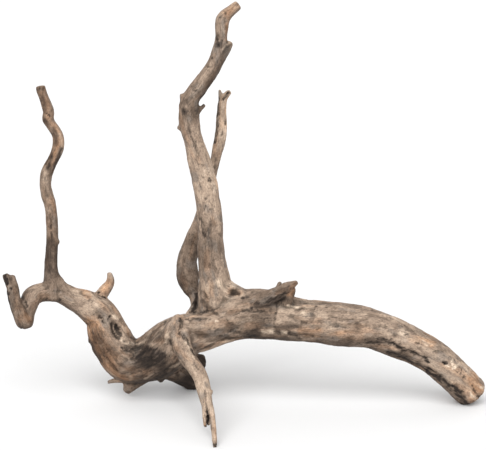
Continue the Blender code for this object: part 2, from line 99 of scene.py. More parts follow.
LIMBS = {
    # From the thick right end, through the belly, to the hook at the left.
    "stem": Limb([
        (468.2, 61.2, 12, 16.7), (459.6, 70, 15.5, 17.5), (440, 86.8, 21, 17.5), (420, 100, 25, 17.3),
        (400, 110.5, 28, 18.1), (380, 118.5, 30, 19.6), (360, 123.3, 31, 20.7), (330, 126.2, 31, 21.4),
        (300, 129, 30, 21.6), (275, 134.5, 28, 24.5), (250, 136.5, 25, 23.6), (228, 132, 22, 22.9),
        (205, 119.5, 19, 19.5), (187, 115, 17, 22.5), (174, 107.3, 15, 25.3), (159.5, 95.8, 12, 24.6),
        (141, 88.2, 9, 22), (127, 90, 8, 22.4), (117, 101, 8, 21.2), (107.9, 117, 9, 19.8),
        (101, 134, 10, 17.2), (87, 144.5, 12, 15), (73.5, 150.2, 14, 12.2), (61, 156.3, 17, 11),
        (50, 156.8, 20, 9.7), (40, 156.3, 25, 9.6), (32, 152.8, 30, 9.6), (28, 144, 36, 8.4),
        (25.6, 134.6, 41, 7.8), (23.6, 128.4, 45, 8.3), (18.2, 139, 49, 6.6), (14.2, 152, 52, 6.4),
        (12.4, 162, 53, 6.1), (10.4, 169, 53, 5.8), (9.7, 173.6, 53, 5.4),
    ], start=0.75, end=0.2),
    "hook_lip": Limb([(9.4, 163.5, 53, 3.4), (7.2, 170, 53, 3.4), (5.2, 175.2, 53, 3.2)]),
    "main_upright": Limb([
        (216, 132, 20, 17), (215, 150, 22, 17), (214.5, 162, 24, 16.5), (214.3, 170, 26, 15.5),
        (212.8, 180, 28, 14.2), (211.2, 192, 30, 13.6), (210.5, 207, 33, 13.4), (209.8, 222, 35, 13.1),
        (208.8, 236, 37, 12.4), (207.6, 250, 38, 11.8), (205.5, 264, 39, 11.4), (202.1, 278, 40, 11),
        (198.3, 292, 42, 10.6), (194.8, 304, 44, 10), (190.9, 317, 47, 10), (188.5, 329, 50, 10.4),
        (188.2, 339, 52, 10.4), (189.5, 348, 54, 10.1), (193.3, 355.3, 55, 9.3), (198.6, 362.3, 56, 9.1),
        (206.5, 372.8, 57, 8.8), (213, 382.7, 57, 8.3), (217, 392, 57, 7.6), (219, 400, 57, 6.8),
        (220.8, 407, 58, 6.2), (221.9, 415, 59, 6.1), (221.9, 424, 60, 6.6), (222.6, 430.4, 60, 7),
        (225.3, 434.7, 60, 6.5), (230.5, 438.9, 61, 5.4), (235.3, 443, 62, 5.1), (237.5, 444.8, 62, 5),
    ]),
    "upright_web": Limb([(217, 165, 24, 14), (226, 156.5, 24, 13.5), (239, 148.5, 24, 14.2)]),
    "upright_stub": Limb([
        (217, 387, 56, 6), (223, 396, 54, 5.6), (228, 403.4, 54, 4.6), (230.5, 407.2, 54, 3.5),
    ]),
    "upright_thorn": Limb([(194, 334, 52, 3.2), (200.5, 341, 54, 2.3), (204.6, 345, 55, 2)]),
    "upright_spur": Limb([(185, 346, 53, 3.6), (182, 352, 55, 2.5), (181.2, 355.8, 55, 1.9)]),
    "upright_barb": Limb([(184, 320, 48, 3.4), (177.6, 322.6, 48, 1.9)]),
    "back_upright": Limb([
        (200, 128, 8, 9), (197.5, 140, 0, 7.4), (196, 148, -6, 6.2), (193.8, 155, -10, 6.6),
        (190.4, 162, -13, 8.8), (188, 169.5, -14, 11.4), (186.7, 177.5, -14, 11.2), (186.4, 188, -14, 10.2),
        (189.1, 197.5, -14, 10), (192, 207, -14, 8.7), (196, 217, -14, 7.8), (200.5, 230, -13, 6.8),
        (205, 245, -10, 6.2), (209, 260, -5, 5.6), (212.3, 275, 0, 5.2), (215, 288, 4, 5.4),
        (217.5, 300, 8, 5.7), (219.8, 310, 11, 5.8), (220.9, 320, 14, 5.7), (221.2, 330, 17, 5.6),
        (221.5, 340, 20, 5.2), (222.4, 347, 22, 4.9), (224.5, 352.5, 24, 4.1), (228.4, 357, 25, 3.2),
        (229.9, 358.2, 25, 2.6),
    ]),
    "back_prong": Limb([(222, 345, 22, 3.8), (220.5, 353, 23, 2.5), (219.7, 360.2, 24, 1.8)]),
    "left_upright": Limb([
        (53, 153, 20, 9.5), (53, 164, 22, 9.2), (52.5, 173, 23, 8.2), (51.7, 181, 24, 7),
        (51.2, 189, 26, 6.5), (51.9, 200, 29, 6.5), (52.5, 212, 32, 6.5), (52.3, 225, 34, 6.4),
        (51.8, 237, 36, 6.4), (50, 246, 37, 6.4), (47, 255, 38, 6.7), (45.3, 265, 40, 6.6),
        (46, 275, 43, 6.5), (48.5, 282.5, 46, 5.9), (53, 291, 48, 5.5), (57, 299.5, 49, 5.8),
        (58.2, 307, 49, 6), (57.3, 314, 49, 5.8), (54.3, 320, 49, 5.4), (50.2, 326, 49, 5.2),
        (47.5, 332, 50, 6.2), (48.4, 337, 51, 5.7), (46.5, 344, 52, 5.6), (43.7, 352, 53, 5),
        (41.2, 359, 54, 5.2), (40.4, 363, 54, 5.3),
    ], end=0.25),
    "left_web": Limb([(54.6, 171, 22, 6.9), (62.5, 160.6, 20, 7.6), (73, 152.6, 17, 9.9)]),
    "left_nub": Limb([(55, 208, 33, 3.6), (59.3, 208, 33, 2)]),
    "left_knot": Limb([(46.5, 331, 50, 4), (43, 331, 50, 2.6)]),
    "left_twig": Limb([
        (98, 148, 8, 8), (101.5, 155, 4, 6.5), (105.5, 160.5, 2, 6), (109.3, 165.5, 2, 5),
        (110.6, 170.8, 4, 4), (109.3, 177, 5, 2.4),
    ]),
    "left_snag": Limb([(97, 149, 16, 6), (90, 155, 19, 4.2), (85, 158.2, 21, 3.1)]),
    "belly_nub": Limb([(96, 110, 8, 8), (89.4, 110.5, 8, 3.7)]),
    "front_root": Limb([
        (182, 124, 26, 12), (180, 114, 36, 10.8), (182.3, 104, 47, 9.2), (188, 92.5, 59, 8.6),
        (194.7, 82.5, 71, 8), (200.8, 72, 82, 7.6), (204.2, 60, 92, 7.1), (206.5, 49, 101, 6.3),
        (208, 41, 106, 4.6),
    ]),
    "front_prong": Limb([
        (209, 47, 102, 4.4), (211.8, 37, 108, 3.5), (213.2, 26, 114, 3.4), (214, 15, 120, 3.1),
        (214.7, 7, 125, 2.7), (215, 3, 127, 2.1),
    ]),
    "short_prong": Limb([
        (204, 50, 100, 4), (204.3, 38, 107, 2.6), (204.8, 29, 110, 2.5), (205.8, 23.4, 112, 2.1),
    ]),
    "prong_web": Limb([(208, 44, 98, 4), (208.3, 33, 103, 2.8), (208.6, 25, 106, 2)]),
    "front_shoulder": Limb([(180, 127, 24, 10), (171.5, 120, 33, 6.5), (167.5, 112, 36, 5)]),
    "front_barb": Limb([(207, 59, 94, 4), (212.3, 57.8, 96, 2.1)]),
    "front_ridge": Limb([
        (182, 124, 30, 9), (199, 124.5, 32, 11.5), (218, 127, 33, 12.5), (240, 132, 33, 12.5),
        (262, 136, 31, 11), (285, 134, 29, 10),
    ]),
    "right_snag": Limb([
        (248, 139, 31, 13), (260, 146.5, 39, 10), (271, 153, 46, 7.7), (281, 158.2, 51, 6.2),
        (290, 161.6, 54, 5.9), (293.2, 163, 55, 5.5),
    ], end=0.12),
    "right_ear": Limb([(284, 162.5, 52, 4.8), (292, 165.4, 54, 3.9), (297.3, 167.9, 55, 2.5)], end=0.2),
    "right_nub": Limb([(279, 162, 46, 3.6), (279.8, 168, 46, 2)]),
    "rear_root": Limb([
        (168, 98, 0, 18), (180.5, 89.3, -14, 15.3), (188.5, 82.5, -26, 13.6), (192.5, 77, -37, 13.4),
    ]),
    "rear_knob": Limb([(189, 88, -20, 9), (202.4, 88.4, -26, 7.4)]),
    "belly_foot": Limb([(141, 77, 4, 12), (134.5, 69.5, 1, 9.5), (130, 63.5, -2, 7), (127.3, 59, -4, 4.4)]),
    "belly_twig": Limb([(126, 71, 1, 3.8), (115, 69.5, -3, 2.6), (108, 67.8, -6, 2)]),
    "belly_barb": Limb([(160, 74, -4, 6), (161.3, 68.6, -8, 2.1)]),
    "rear_web": Limb([(164, 81, 0, 10.5), (180, 75.5, -19, 10.4), (193, 70.3, -33, 10.8)]),
    "back_flare": Limb([(197, 142, 0, 6.5), (191, 138, 3, 3.8), (187, 136, 5, 2.2)]),
    "snag_face": Limb([(284.5, 146, 42, 7.4), (287.5, 153, 48, 6.2), (289.8, 158, 52, 5.8)]),
}

# A dent is (across, up, near, half its width, half its length, depth, lean of its length in degrees). A
# negative depth is a bump.
DENTS = [
    (115.5, 121, 28, 6, 13, 6.5, 24), (102, 137, 26, 5, 16, -2, 38), (234, 157.5, 38, 7, 5, 4, -10),
    (147, 91, 32, 20, 11, 5, -62), (128, 82, 30, 7, 20, -2.2, -50), (207.7, 30, 112, 1.8, 9, 2.4, -3),
    (196.5, 147, 6, 3, 10, 5, 8), (181, 127, 40, 2.6, 10, 2.6, 15), (222, 110, 40, 26, 3, 2.5, 8),
    (209, 219, 48, 8, 9, 1.6, 0), (411, 109, 42, 13, 8, -1.4, 30), (445, 87, 36, 4, 3, 2.2, 0),
    (477, 54, 20, 4, 5, 3, 0), (8, 176, 54, 4, 4, 3.5, 0),
]

DENT_FADE = 1.5  # how soon a dent's depth falls off, as a power
DENT_FACING, MARK_FACING = 2.0, 3.0  # how soon each fades where the skin turns from the eye

# How bleached the wood is at (across, up, near), from 0, dark and damp, to 1, pale and dry. The darkest
# places, on the root behind, under the belly and in the saddle beside it, are painted shade as well.
WEATHER_AND_SHADE = [
    (235, 440, 61, 0.5), (220, 412, 58, 0.5), (215, 385, 57, 0.34), (203, 362, 56, 0.45),
    (189, 345, 52, 0.28), (198, 305, 45, 0.66), (207, 270, 40, 0.68), (209, 240, 38, 0.64),
    (208, 215, 36, 0.44), (206, 185, 30, 0.27), (221, 166, 30, 0.95), (205, 160, 30, 0.4),
    (185, 185, -10, 0.28), (205, 245, -10, 0.55), (221, 335, 20, 0.84), (43, 355, 54, 0.32),
    (55, 315, 49, 0.48), (50, 240, 36, 0.42), (52, 185, 26, 0.12), (45, 157, 26, 0.45), (80, 150, 14, 0.62),
    (100, 140, 20, 0.5), (108, 167, 5, 0.6), (24, 135, 42, 0.32), (10, 165, 53, 0.32), (102, 108, 9, 0.16),
    (124, 125, 20, 0.66), (125, 82, 9, 0.58), (150, 88, 20, 0.0), (172, 90, 12, 0.42), (155, 112, 20, 0.06),
    (172, 122, 30, 0.55), (182, 105, 50, 0.42), (195, 80, 75, 0.54), (206, 50, 100, 0.7),
    (214, 15, 120, 0.66), (185, 74, -30, 0.02), (212, 114, 20, 0.84), (215, 130, 40, 0.48),
    (247, 145, 40, 0.24), (262, 135, 40, 0.4), (275, 155, 48, 0.32), (290, 128, 45, 0.5), (320, 130, 45, 0.5),
    (350, 125, 45, 0.45), (385, 120, 42, 0.5), (410, 108, 40, 0.52), (440, 92, 35, 0.56), (460, 75, 30, 0.68),
    (472, 60, 20, 0.52), (330, 112, 30, 0.52),
]

WEATHER_AND_SHADE_REACH = 20.0  # how far each place tells on its surroundings
PLAIN_TONE, PLAIN_WEIGHT = 0.5, 0.02  # what is left where no place reaches

# A mark is (near, width, strength, line). It follows its line of (across, up) on skin that lies about near
# in front of the elevation, and fades from its strength at the line to nothing at its width. Dark marks
# narrower than STAIN_WIDTH are sunk into the skin.
# Dark marks are stains, rot, cracks and pits, and in some groups painted shade and shadow, as their headings
# say.
DARK_STAINS_AND_SHADE = [
    # the split and the rotten band along the thick limb
    (40, 2.6, 1, [(378, 111), (392, 107), (402, 101), (410, 99.5), (416, 95.5), (424, 93), (428, 88.5)]),
    (36, 2.2, 0.75, [(366, 107), (378, 108), (390, 106)]),
    (36, 2.8, 1, [(388, 97.5), (400, 94), (412, 88), (420, 84), (430, 79.5), (440, 74)]),
    (30, 4.6, 1.3, [(428, 79), (440, 72), (448, 66), (456, 59.5), (463, 52)]),
    (34, 1.8, 0.8, [(438, 76), (442, 74.5)]), (28, 1.8, 0.75, [(452, 64.5), (457, 61.5), (463, 58)]),
    (18, 4.6, 1.5, [(462, 50), (466, 45.5), (472, 43.5)]), (16, 2, 0.6, [(474, 48), (477, 50)]),
    (26, 1.9, 1, [(443, 87), (447, 87.4)]), (20, 2.4, 1, [(478, 54), (479.4, 53.4)]),
    (24, 1.6, 0.55, [(472.5, 65), (474, 60), (477, 54)]), (44, 4.5, 0.4, [(357, 125), (359, 119)]),
    (44, 2.4, 0.4, [(381, 123.5), (386, 122)]), (42, 2.6, 0.35, [(389, 118), (396, 114.5)]),
    (42, 1.6, 0.6, [(416, 107.5), (419, 106)]),
    (38, 3.2, 0.35, [(407, 122), (420, 116.5), (430, 110), (440, 103), (448, 98.5)]),
    (36, 2.4, 0.4, [(436, 98), (442, 98.5)]), (40, 1.6, 0.6, [(405.5, 115.5), (407, 116)]),
    # blotches round the bare patches
    (48, 1.8, 0.55, [(276, 147), (277, 141), (275.5, 134), (274.5, 127)]),
    (46, 8, 0.4, [(258, 142), (268, 134), (266, 128)]),
    (48, 2, 0.6, [(243, 139.5), (252, 138.3), (262, 138.3), (269, 137)]),
    (48, 3.4, 0.45, [(312, 140), (313, 133)]), (50, 3.6, 0.55, [(291, 133), (296, 131), (299, 127)]),
    (46, 4, 0.5, [(276, 124), (284, 122.5), (291, 125), (300, 124)]),
    (44, 3, 0.55, [(277, 119), (281, 117.5)]), (44, 2.6, 0.6, [(289, 117), (294, 115), (299, 113)]),
    (40, 3.4, 0.6, [(246, 114), (262, 112.5), (280, 111), (300, 110)]),
    (50, 1.2, 0.7, [(331, 133), (337, 132.6)]), (50, 2.4, 0.35, [(300, 149), (312, 147), (330, 146.5)]),
    (50, 2, 0.4, [(296, 140), (303, 142), (314, 141)]),
    (48, 2.6, 0.35, [(302, 128), (312, 129.5), (322, 129)]),
    # painted shadow in the groove under the snag
    (46, 2.8, 0.8, [(266, 148), (274, 151.5), (281, 155), (285, 157)]),
    (46, 3.4, 0.6, [(256, 146.5), (266, 146), (276, 149), (284, 153)]),
    (56, 1.8, 0.75, [(287.5, 157), (290, 159.5), (292, 162)]), (56, 1.4, 0.5, [(288, 163.5), (296, 167)]),
    (50, 4, 0.5, [(258, 149), (270, 155), (284, 161)]),
    # painted shade in the slot between the uprights, in the crease beside the front root, and round the
    # uprights' feet
    (8, 3.4, 1.8, [(197.4, 156), (196.4, 150), (195.6, 145), (193.8, 139)]),
    (36, 3, 0.75, [(202, 149), (206, 145), (211, 141.5)]),
    (34, 1.7, 0.75, [(188, 138), (195, 136), (201.5, 136), (206, 139), (213, 139.3)]),
    (36, 2.4, 0.5, [(203, 158), (206, 152)]), (-6, 3, 0.6, [(190, 158), (195, 160), (196, 152)]),
    (42, 1.8, 0.7, [(186.5, 130.5), (190, 129.5), (193, 131.5), (199, 131), (210, 130.6)]),
    (42, 2, 0.9, [(180.6, 130), (182.6, 126)]),
    (42, 2, 0.85, [(180.2, 124.5), (178.6, 120), (180.5, 116.5), (183.5, 112)]),
    (46, 1.6, 0.5, [(213, 138), (218, 135), (222, 133)]), (46, 2, 0.5, [(229, 126.5), (232.5, 126.5)]),
    (46, 1.5, 0.85, [(241.5, 152.3), (243, 152)]), (46, 1.8, 0.5, [(246, 153), (252, 157)]),
    # the knot beside the main upright
    (42, 3.4, 0.9, [(230.5, 154.5), (234, 157), (237.5, 159.5)]), (42, 2.4, 0.8, [(233, 158.5), (239, 156)]),
    # painted shadow under the front ridge
    (40, 2.2, 0.5, [(216, 120), (226, 119.6), (236, 118.2)]), (38, 1.8, 0.45, [(220, 113.5), (228, 113.3)]),
    (32, 1.5, 0.5, [(205, 102.5), (212, 105.5), (218, 109), (226, 111.5), (238, 112.5)]),
    (36, 2.4, 0.8, [(186.5, 110), (188.5, 104)]),
    # the front root's cracks, its split and its tips
    (56, 1.3, 1.1, [(184, 115), (187, 109), (191, 100.5), (196.5, 92), (202.5, 84.5)]),
    (78, 1.3, 0.9, [(194.5, 86), (198.3, 81)]), (64, 1.2, 0.55, [(176, 98), (180, 91.5), (185, 85)]),
    (40, 2, 0.85, [(170.5, 109), (171.5, 105.5)]), (104, 1.1, 0.85, [(204.6, 60), (205.6, 51), (206.8, 40)]),
    (112, 1.8, 1.7, [(207.3, 38), (207.6, 30), (207.5, 22)]), (116, 1.2, 0.6, [(211.5, 24), (211.6, 21)]),
    (124, 2.4, 1.3, [(214.9, 5), (215, 1)]), (112, 1.6, 1, [(205.6, 23), (206.4, 21.5)]),
    # the belly: stains, and painted shade in the hollow under its bulge
    (30, 12, 1.15, [(142, 93), (152, 94), (159, 93)]), (34, 6, 0.8, [(126, 101), (138, 101), (152, 100)]),
    (14, 7, 0.3, [(96, 118), (99, 104), (108, 90)]), (24, 6, 0.6, [(150, 112), (160, 116)]),
    (34, 4.5, 0.85, [(142, 88), (147, 85), (152, 87)]), (30, 4, 0.4, [(162, 94), (170, 95)]),
    (30, 2, 0.75, [(121, 102.5), (126, 100.5), (130, 98)]), (30, 1.8, 0.6, [(131, 99), (134, 94), (131, 91)]),
    (34, 1.7, 0.95, [(135.5, 107), (137.5, 107.2)]), (34, 1.6, 0.75, [(130.5, 107), (132, 107)]),
    (30, 3, 0.5, [(132, 112), (136, 111)]), (20, 2.2, 0.8, [(157, 72), (161, 73.5), (165, 76.5)]),
    (28, 1.6, 0.6, [(165.8, 93), (167.5, 91.5), (170, 93.5)]),
    (24, 2, 0.5, [(160, 80), (170, 81), (176, 80)]), (36, 1.8, 0.75, [(166.2, 131), (164, 126.5)]),
    (24, 2.4, 0.5, [(104, 94), (112, 84), (122, 76)]),
    # the rotted eye and the pits about it
    (26, 2.8, 1, [(115.5, 125), (116.7, 121), (118.5, 117)]),
    (28, 2.2, 0.85, [(111.5, 126), (112, 120), (114.5, 115), (118.8, 111.5)]),
    (28, 2.2, 0.55, [(121, 118), (121.2, 115)]), (22, 2, 0.85, [(98.6, 157), (99, 155)]),
    (22, 1.7, 1, [(102.2, 153.5), (104.6, 152.3)]), (26, 2.6, 0.9, [(99.5, 133.2), (102, 132.6)]),
    (28, 1.7, 1, [(110, 133.8), (108.2, 131)]), (28, 2.2, 0.7, [(102.5, 128.6), (104.5, 127.5)]),
    (26, 5, 0.4, [(94, 137), (103, 137)]), (24, 1.5, 0.6, [(92.5, 157.2), (97, 154), (100.5, 151)]),
    (26, 1.6, 0.65, [(102, 148.3), (107, 144.5), (111.5, 140)]), (26, 1.8, 0.5, [(112, 141), (113.5, 137)]),
    (26, 1.6, 0.65, [(120.5, 131), (122, 126.3), (127, 124.6)]), (22, 2, 0.5, [(89, 149.5), (92, 148.5)]),
    # the rotten hook
    (56, 2.6, 1.5, [(4, 176), (6.4, 170.5), (7.4, 166)]), (52, 1.8, 1.1, [(5, 166), (7, 156), (10, 145)]),
    (56, 1.4, 1.4, [(10.4, 162), (11.6, 160)]), (56, 1.3, 1.2, [(8.6, 158), (9.4, 155)]),
    (56, 1.6, 0.6, [(9, 174), (11, 171)]), (42, 1.8, 0.75, [(22, 153), (25.5, 149), (27.5, 143)]),
    (56, 1.8, 0.4, [(12, 163), (15, 152)]), (40, 2.4, 0.45, [(26, 158), (32, 160)]),
    # the left upright
    (28, 4, 0.6, [(48, 208), (49, 190), (49, 172)]), (34, 1.8, 0.6, [(51, 245), (50.5, 225), (52, 208)]),
    (56, 3.4, 0.65, [(42, 352), (46, 338)]), (54, 3, 0.85, [(44.5, 330), (50, 322)]),
    (54, 4, 0.75, [(53, 320), (56, 312), (55, 306)]), (52, 3, 0.8, [(53, 300), (50, 296)]),
    (50, 3.6, 1, [(51, 294), (47.5, 286), (49, 282)]), (48, 3, 0.9, [(61, 301), (57.5, 291), (54, 282)]),
    (26, 3.4, 0.45, [(57, 196), (58, 182)]), (52, 1.3, 1.1, [(47, 336.5), (50, 334)]),
    (56, 2, 0.7, [(38, 360), (41.5, 361.5), (44.5, 362)]), (52, 1.6, 0.5, [(43, 333), (45, 329)]),
    # the main upright
    (52, 2.4, 0.75, [(200.5, 231), (203.5, 226), (202.5, 220), (205, 213.5)]),
    (52, 3.4, 0.55, [(212, 228), (215, 225)]), (52, 3, 0.5, [(205, 214), (214, 210), (212, 204)]),
    (52, 1.8, 0.9, [(209, 271.5), (209.3, 269)]), (54, 2.4, 0.6, [(194.5, 308), (196, 300), (198, 295)]),
    (62, 3, 0.7, [(183.5, 340.5), (185, 337)]), (62, 4, 0.5, [(184, 347), (192, 352), (199, 357)]),
    (64, 2, 0.7, [(194, 359), (196.5, 360)]), (62, 2, 0.65, [(186.5, 341), (188.5, 338)]),
    (58, 3, 0.6, [(197, 339), (204, 345)]), (52, 1.6, 0.5, [(187, 330), (190, 318), (193, 308)]),
    (62, 4.6, 0.62, [(205, 359), (213, 372), (222, 390), (227, 402)]),
    (66, 1.7, 0.75, [(220, 432.5), (226, 436.5)]),
    (62, 2.2, 0.85, [(217, 413), (218.6, 406), (221, 403), (223, 410)]),
    (64, 1.6, 0.4, [(226, 424), (227, 412)]), (60, 1.6, 0.55, [(228, 403), (231.5, 406.5)]),
    (66, 1.6, 0.45, [(236, 445.5), (238.5, 446)]),
    # the slim upright behind
    (22, 2.8, 0.9, [(218, 352), (217.4, 338), (216.6, 325), (214, 308)]),
    (28, 1.7, 1.2, [(223, 351), (229, 357)]), (14, 1.6, 0.6, [(216.5, 292), (214, 282)]),
    (24, 1.4, 1, [(225.4, 329), (225, 326)]), (22, 1.2, 1, [(222, 318), (221.6, 315)]),
    (-4, 4, 0.45, [(180, 180), (184, 170), (190, 160)]),
    # painted shade on the root behind and its knob
    (-26, 14, 0.85, [(172, 76), (194, 68)]), (-20, 7, 0.7, [(202, 92), (204, 86)]),
]

PALE_MARKS = [
    # bare patches where the skin has flaked off the thick limb
    (50, 9, 0.75, [(283, 137), (291, 136)]), (48, 5, 0.6, [(279, 129), (279.5, 134)]),
    (50, 1.5, 1, [(287.5, 144.3), (293, 143), (298.5, 142.3)]), (50, 4.4, 0.6, [(301, 137), (307, 136)]),
    (50, 5, 0.65, [(317, 137), (324, 134)]), (46, 4.6, 0.65, [(264, 118), (272, 119.5)]),
    (46, 3, 0.7, [(283, 117.5), (286, 117)]), (48, 3, 0.6, [(328, 127), (335, 126)]),
    (46, 3, 0.5, [(291, 113), (296, 111.5)]), (50, 3, 0.35, [(338, 144), (356, 139), (366, 135)]),
    (48, 3, 0.4, [(364, 127), (371, 123)]), (42, 6, 0.75, [(401, 118), (406, 117)]),
    (40, 4, 0.8, [(397, 110), (403, 109)]), (40, 5, 0.5, [(409, 112), (414, 110)]),
    (40, 6, 0.5, [(417, 111), (424, 105)]), (38, 4, 0.55, [(425, 101), (436, 94)]),
    (36, 5, 0.45, [(430, 88), (444, 78)]), (34, 1.8, 1, [(451.5, 89.5), (453.5, 82.5), (457.5, 84.7)]),
    (32, 2, 0.9, [(446, 84.8), (448.5, 84.2)]), (30, 3, 0.6, [(460, 86), (466, 84)]),
    (30, 4, 0.5, [(448, 74), (458, 70)]), (24, 2.4, 0.6, [(470, 57), (471.5, 54)]),
    (22, 2, 0.8, [(475.5, 54), (476.5, 52)]), (18, 1.6, 0.9, [(481, 62.5), (484, 63)]),
    # the junction
    (46, 5, 0.5, [(212, 146), (230, 145), (246, 143)]), (46, 4, 0.4, [(188, 123), (206, 123), (222, 124)]),
    (46, 1.4, 0.7, [(215.5, 128.7), (217.5, 128.5)]), (44, 4, 0.4, [(222, 134), (240, 128), (250, 131)]),
    (38, 6, 0.7, [(219, 168), (224, 160)]), (44, 1.8, 0.6, [(224, 153.5), (233, 152.3), (244, 155)]),
    (40, 3.4, 0.9, [(166.5, 114), (167, 108.5)]), (42, 3, 0.6, [(172.5, 118), (174, 112), (176, 106)]),
    (46, 3, 0.5, [(187, 128), (187, 121)]),
    # the front root
    (62, 3, 0.55, [(182, 112), (187, 102), (193, 92)]), (80, 3.4, 0.5, [(192, 86), (197, 76), (201, 64)]),
    (104, 2, 0.55, [(208, 58), (210, 46), (213, 30)]), (68, 1.3, 0.7, [(198, 92), (204, 84)]),
    # the belly
    (34, 2, 0.7, [(119, 112), (126, 106), (133, 107.3), (141, 105.5), (147, 111.5), (150.5, 118)]),
    (32, 1.4, 0.6, [(131, 100), (135.5, 95.5), (138.6, 92.5), (136, 90)]),
    (32, 4, 0.4, [(151, 105), (159, 104)]), (30, 2.6, 0.45, [(163, 98), (172, 97)]),
    (26, 1.5, 0.6, [(170, 82.5), (176, 84.5), (181, 88)]), (22, 1.8, 0.45, [(145, 71.5), (153, 76)]),
    (26, 2.4, 0.4, [(128, 76), (131, 72)]), (28, 1.5, 0.6, [(122, 95), (127, 92.5), (130, 90)]),
    # about the eye and along the left arm
    (28, 3.6, 0.65, [(121, 136), (124, 122), (124.5, 112)]),
    (28, 1.5, 0.65, [(113.3, 125), (115, 119), (118, 114)]), (28, 3.4, 0.65, [(114, 134), (119, 132.5)]),
    (24, 3, 0.6, [(88, 146), (97, 144.5)]),
    (24, 1.6, 0.6, [(91, 156), (96, 152.5), (101, 149.5), (107, 148)]), (22, 3, 0.4, [(74, 158), (86, 150)]),
    (26, 1.5, 0.5, [(105, 145.5), (110, 142), (112, 138)]),
    # the uprights
    (46, 3, 0.75, [(45, 277), (46, 269)]), (50, 1.8, 0.6, [(60, 316), (62, 306)]),
    (50, 3, 0.35, [(214, 250), (216, 230)]), (66, 2.6, 0.5, [(222, 425), (223, 418)]),
    (62, 1.3, 0.85, [(222, 400), (227, 406)]), (62, 3, 0.4, [(193, 352), (203, 372), (212, 388)]),
    (20, 2, 0.4, [(222, 338), (221, 318)]),
]

CHIP_MARKS = [
    (36, 1.5, 1, [(451.5, 89), (452.5, 84)]), (34, 1.6, 1, [(453.5, 82), (457.5, 85)]),
    (34, 1.3, 0.9, [(446.5, 84.6), (449, 84)]), (20, 1.5, 0.9, [(481, 62.5), (484, 63)]),
    (24, 1.4, 0.8, [(470.5, 57), (472, 53)]), (20, 1.3, 0.8, [(475, 52), (476, 49)]),
    (50, 1.5, 1, [(287, 144.6), (293, 143), (298.5, 142.3)]), (46, 1.6, 0.8, [(282.5, 117.6), (286, 117)]),
    (46, 2, 0.6, [(263, 118), (268, 119.5), (272, 118)]), (50, 1.8, 0.6, [(303, 137.5), (306, 135.5)]),
    (40, 2, 0.6, [(400, 118), (404, 115.5)]), (38, 1.6, 0.6, [(423, 109), (427, 105)]),
    (46, 1.1, 0.8, [(215.5, 128.8), (217.5, 128.6)]), (40, 2, 0.5, [(218, 168), (221, 162)]),
    (28, 1.6, 0.6, [(114, 134), (118, 131)]), (32, 1.2, 0.6, [(120, 111), (126, 106.5), (132, 107)]),
    (62, 1.4, 0.7, [(186, 108), (191, 99), (195, 92)]),
]

WARM_MARKS = [
    (54, 8, 0.6, [(42, 360), (48, 335), (57, 308), (50, 288)]), (40, 6, 0.3, [(52, 250), (53, 205)]),
    (20, 9, 0.7, [(474, 72), (478, 62), (474, 52)]), (44, 7, 0.55, [(302, 119), (318, 118)]),
    (46, 6, 0.35, [(340, 116), (360, 113)]), (44, 7, 0.5, [(21, 132), (27, 132)]),
    (54, 4, 0.3, [(14, 160), (18, 142)]), (62, 6, 0.45, [(226, 436), (236, 444)]),
    (66, 3, 0.7, [(228.5, 436), (228, 424), (227, 411)]), (56, 5, 0.9, [(290, 156), (294, 164)]),
    (12, 14, 0.95, [(92, 124), (98, 106), (110, 90), (126, 78)]), (8, 6, 0.6, [(104, 160), (110, 168)]),
    (24, 5, 0.5, [(114, 144), (122, 132), (128, 118)]), (40, 6, 0.6, [(412, 112), (432, 106)]),
    (30, 5, 0.4, [(128, 82), (140, 78), (150, 78)]), (112, 2.6, 0.7, [(205, 27), (206, 22)]),
    (24, 5, 0.6, [(85, 158), (88, 154)]), (46, 3, 0.5, [(276, 156), (284, 160)]),
    (44, 3, 0.6, [(54, 280), (58, 272)]), (24, 4, 0.5, [(474, 64), (475, 60)]),
    (34, 4, 0.35, [(198, 106), (206, 103)]),
]

MARKS = {"dark_stain_and_shade": DARK_STAINS_AND_SHADE, "pale": PALE_MARKS, "chip": CHIP_MARKS, "warm": WARM_MARKS}
STAIN_WIDTH = 3.0
MARK_DEPTH, MOST_MARK_DEPTH = 0.45, 1.3  # as a share of the mark's width, and in millimetres
MARK_REACH = (20.0, 14.0)  # how far off its stated place a mark is gone, and is still whole
MARK_CORE = 0.35  # how much of its width has a mark's full strength
EDGE_WANDER = 1.5  # how far a mark's edge wanders, in millimetres
WANDER_SHARES = (0.3, 0.75)  # the least and the most of that, as shares of the mark's width
MARK_STRENGTH, MARK_UNEVENNESS = 0.92, 0.7
STRENGTHS = (0.35, 1.1)  # the least and the most that unevenness leaves of a mark

# A knot is (across, up, near, radius): a raised ring round a dark sunken heart.
KNOTS = [
    (258.5, 147, 47, 2.7), (233.6, 115.2, 42, 2.8), (239.2, 117, 42, 2.2), (184.5, 338.5, 62, 2.8),
    (217.5, 405, 64, 3), (168, 92, 30, 1.8), (289, 157.3, 56, 1.8),
]

KNOT_RING_WIDTH = 0.35  # as a share of the knot's radius

